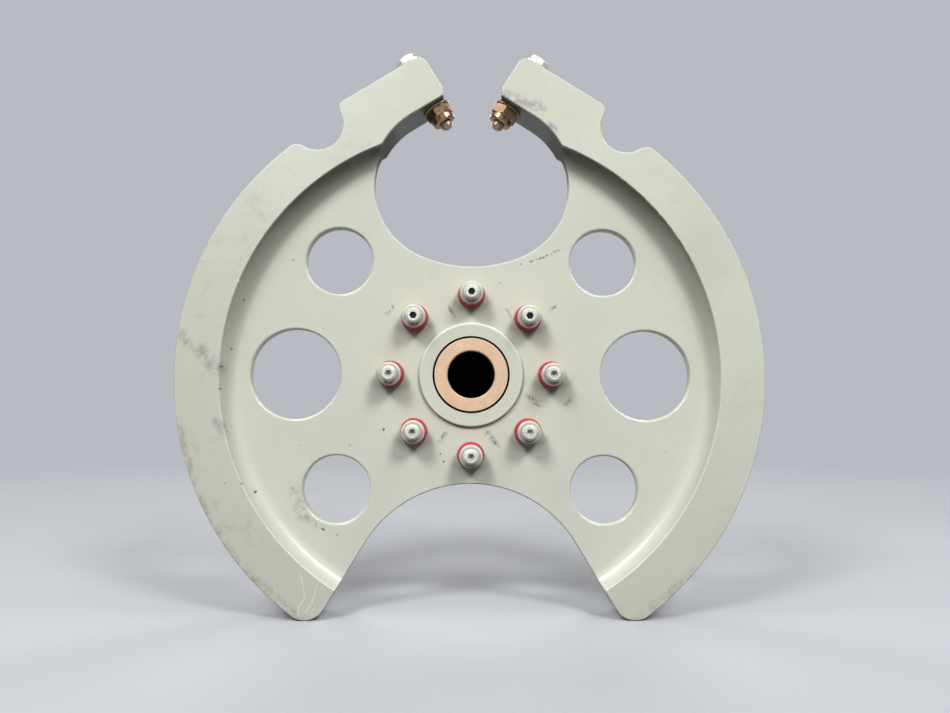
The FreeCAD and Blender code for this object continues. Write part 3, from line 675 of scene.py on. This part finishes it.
THREAD_STEEL = plated("thread_steel", (176, 160, 150), (128, 106, 100), (66, 48, 50),
                      (0.28, 0.45))
NUT_FACE = EAR_INNER - NUT_WASHER - NUT_HEIGHT
for side, side_name in ((-1, "left"), (1, "right")):
    new_piece(f"{side_name}_stub_thread", thread(ear_place(side, NUT_FACE - 0.35), BOLT_STUB - 1.2),
              THREAD_STEEL, smooth=False)

RECESS_PAINT = recess_finish()
for i in FILLED_RECESSES:
    pin_angle = 2 * math.pi * i / PIN_COUNT
    fill = recess_fill(PIN_CIRCLE * math.sin(pin_angle), PIN_CIRCLE * math.cos(pin_angle),
                       0.45 + 0.10 * (i % 3))
    new_piece(f"recess_paint_{i + 1}", fill, RECESS_PAINT, smooth=True)


# Floor, which goes over into an even pale background further out

BACKGROUND = srgb(184, 187, 193)
FLOOR_HALF = 4.0
FLOOR_PLAIN_FROM, FLOOR_PLAIN_AT = 0.26, 1.05


def floor_finish():
    """Plain pale paper, blended into the background's even tone all round the object. It is
    dark to light that bounces, so it throws little back on the object."""
    t = Tree("stage_paper")
    cloud = t.noise(6.0, 2.0, 0.5)
    paper = t.mix(t.fade(cloud, 0.3, 0.7), srgb(182, 184, 189), srgb(186, 188, 193))
    camera_ray, glossy_ray, transmission_ray = [
        t.node("ShaderNodeLightPath", out=f"Is {kind} Ray")
        for kind in ("Camera", "Glossy", "Transmission")]
    seen = t.math("MAXIMUM", t.math("MAXIMUM", camera_ray, glossy_ray), transmission_ray)
    lit = t.node("ShaderNodeBsdfPrincipled",
                 {"Base Color": t.mix(seen, srgb(60, 61, 64), paper), "Roughness": 0.9,
                  "Specular IOR Level": 0.1,
                  "Normal": t.bump((0.02, t.noise(900.0, 2.0, 0.5)))}, out="BSDF")
    even = t.node("ShaderNodeEmission", {"Color": BACKGROUND, "Strength": seen}, out="Emission")
    away = t.length(t.vector("MULTIPLY", t.object, (1.0, 1.0, 0.0)))
    surface = t.node("ShaderNodeMixShader",
                     {0: t.fade(away, FLOOR_PLAIN_FROM, FLOOR_PLAIN_AT), 1: lit, 2: even},
                     out="Shader")
    t.node("ShaderNodeOutputMaterial", {"Surface": surface})
    return t.material


stage_data = bpy.data.meshes.new("stage")
stage_data.from_pydata([(x * FLOOR_HALF, y * FLOOR_HALF, cad_box[0].z)
                        for x, y in ((-1, -1), (1, -1), (1, 1), (-1, 1))], [], [(0, 1, 2, 3)])
stage = bpy.data.objects.new("stage", stage_data)
bpy.context.scene.collection.objects.link(stage)
stage_data.materials.append(floor_finish())


# Light: round lamps aimed at the pivot, each with direction, distance, size in m and power in W

LAMPS = {
    "key_left": ((-0.41, -0.66, 0.64), 1.25, 0.36, 8.9),
    "key_right": ((0.41, -0.66, 0.64), 1.25, 0.36, 8.9),
    "top_left": ((-0.50, -0.24, 0.81), 1.2, 0.60, 2.4),
    "top_right": ((0.50, -0.24, 0.81), 1.2, 0.60, 2.4),
    "front_fill": ((-0.10, -0.93, 0.30), 1.4, 0.80, 1.0),
    "rear_left": ((-0.52, 0.72, 0.46), 1.35, 0.70, 6.4),
    "rear_right": ((0.52, 0.72, 0.46), 1.35, 0.70, 6.4),
}
for lamp_name, (direction, distance, size, power) in LAMPS.items():
    lamp_data = bpy.data.lights.new(lamp_name, "AREA")
    lamp_data.shape = "DISK"
    lamp_data.size = size
    lamp_data.energy = power
    lamp = bpy.data.objects.new(lamp_name, lamp_data)
    bpy.context.scene.collection.objects.link(lamp)
    way = Vector(direction).normalized()
    lamp.location = way * distance
    lamp.rotation_mode = "QUATERNION"
    lamp.rotation_quaternion = way.to_track_quat("Z", "Y")

# World: a weak soft light, which the camera and glass see as the background's even tone

WORLD_LIGHT = (0.95, 0.97, 1.0, 1.0)
WORLD_STRENGTH = 0.09

world = bpy.data.worlds.new("studio")
bpy.context.scene.world = world
world.use_nodes = True
nodes, links = world.node_tree.nodes, world.node_tree.links
nodes.clear()
path = nodes.new("ShaderNodeLightPath")
seen = nodes.new("ShaderNodeMath")
seen.operation = "MAXIMUM"
links.new(path.outputs["Is Camera Ray"], seen.inputs[0])
links.new(path.outputs["Is Transmission Ray"], seen.inputs[1])
choice = nodes.new("ShaderNodeMixShader")
links.new(seen.outputs[0], choice.inputs[0])
for place, color, strength in ((1, WORLD_LIGHT, WORLD_STRENGTH), (2, BACKGROUND, 1.0)):
    shown = nodes.new("ShaderNodeBackground")
    shown.inputs["Color"].default_value = color
    shown.inputs["Strength"].default_value = strength
    links.new(shown.outputs[0], choice.inputs[place])
output = nodes.new("ShaderNodeOutputWorld")
links.new(choice.outputs[0], output.inputs["Surface"])
bpy.context.scene.view_settings.view_transform = "Standard"


# Camera: in front of the pivot and a little below it, as solved from the photograph

CAMERA_PLACE = (-3.35, -321.46, -12.48)
YAW, PITCH, ROLL = math.radians(0.88), math.radians(3.56), math.radians(0.22)
FOCAL_PIXELS, FRAME_PIXELS = 790.8, 950
SENSOR = 36.0

forward = Vector((math.sin(YAW) * math.cos(PITCH), math.cos(YAW) * math.cos(PITCH),
                  math.sin(PITCH)))
level_right = Vector((math.cos(YAW), -math.sin(YAW), 0))
level_up = level_right.cross(forward)
right = math.cos(ROLL) * level_right + math.sin(ROLL) * level_up
up = math.cos(ROLL) * level_up - math.sin(ROLL) * level_right
turned = Matrix((right, up, -forward)).transposed().to_4x4()

camera_data = bpy.data.cameras.new("camera")
camera_data.sensor_fit = "HORIZONTAL"
camera_data.sensor_width = SENSOR
camera_data.lens = FOCAL_PIXELS * SENSOR / FRAME_PIXELS
camera_data.clip_start = 0.01
camera_data.clip_end = 20.0
camera = bpy.data.objects.new("camera", camera_data)
bpy.context.scene.collection.objects.link(camera)
camera.matrix_world = Matrix.Translation(Vector(CAMERA_PLACE) * MM) @ turned
bpy.context.scene.camera = camera
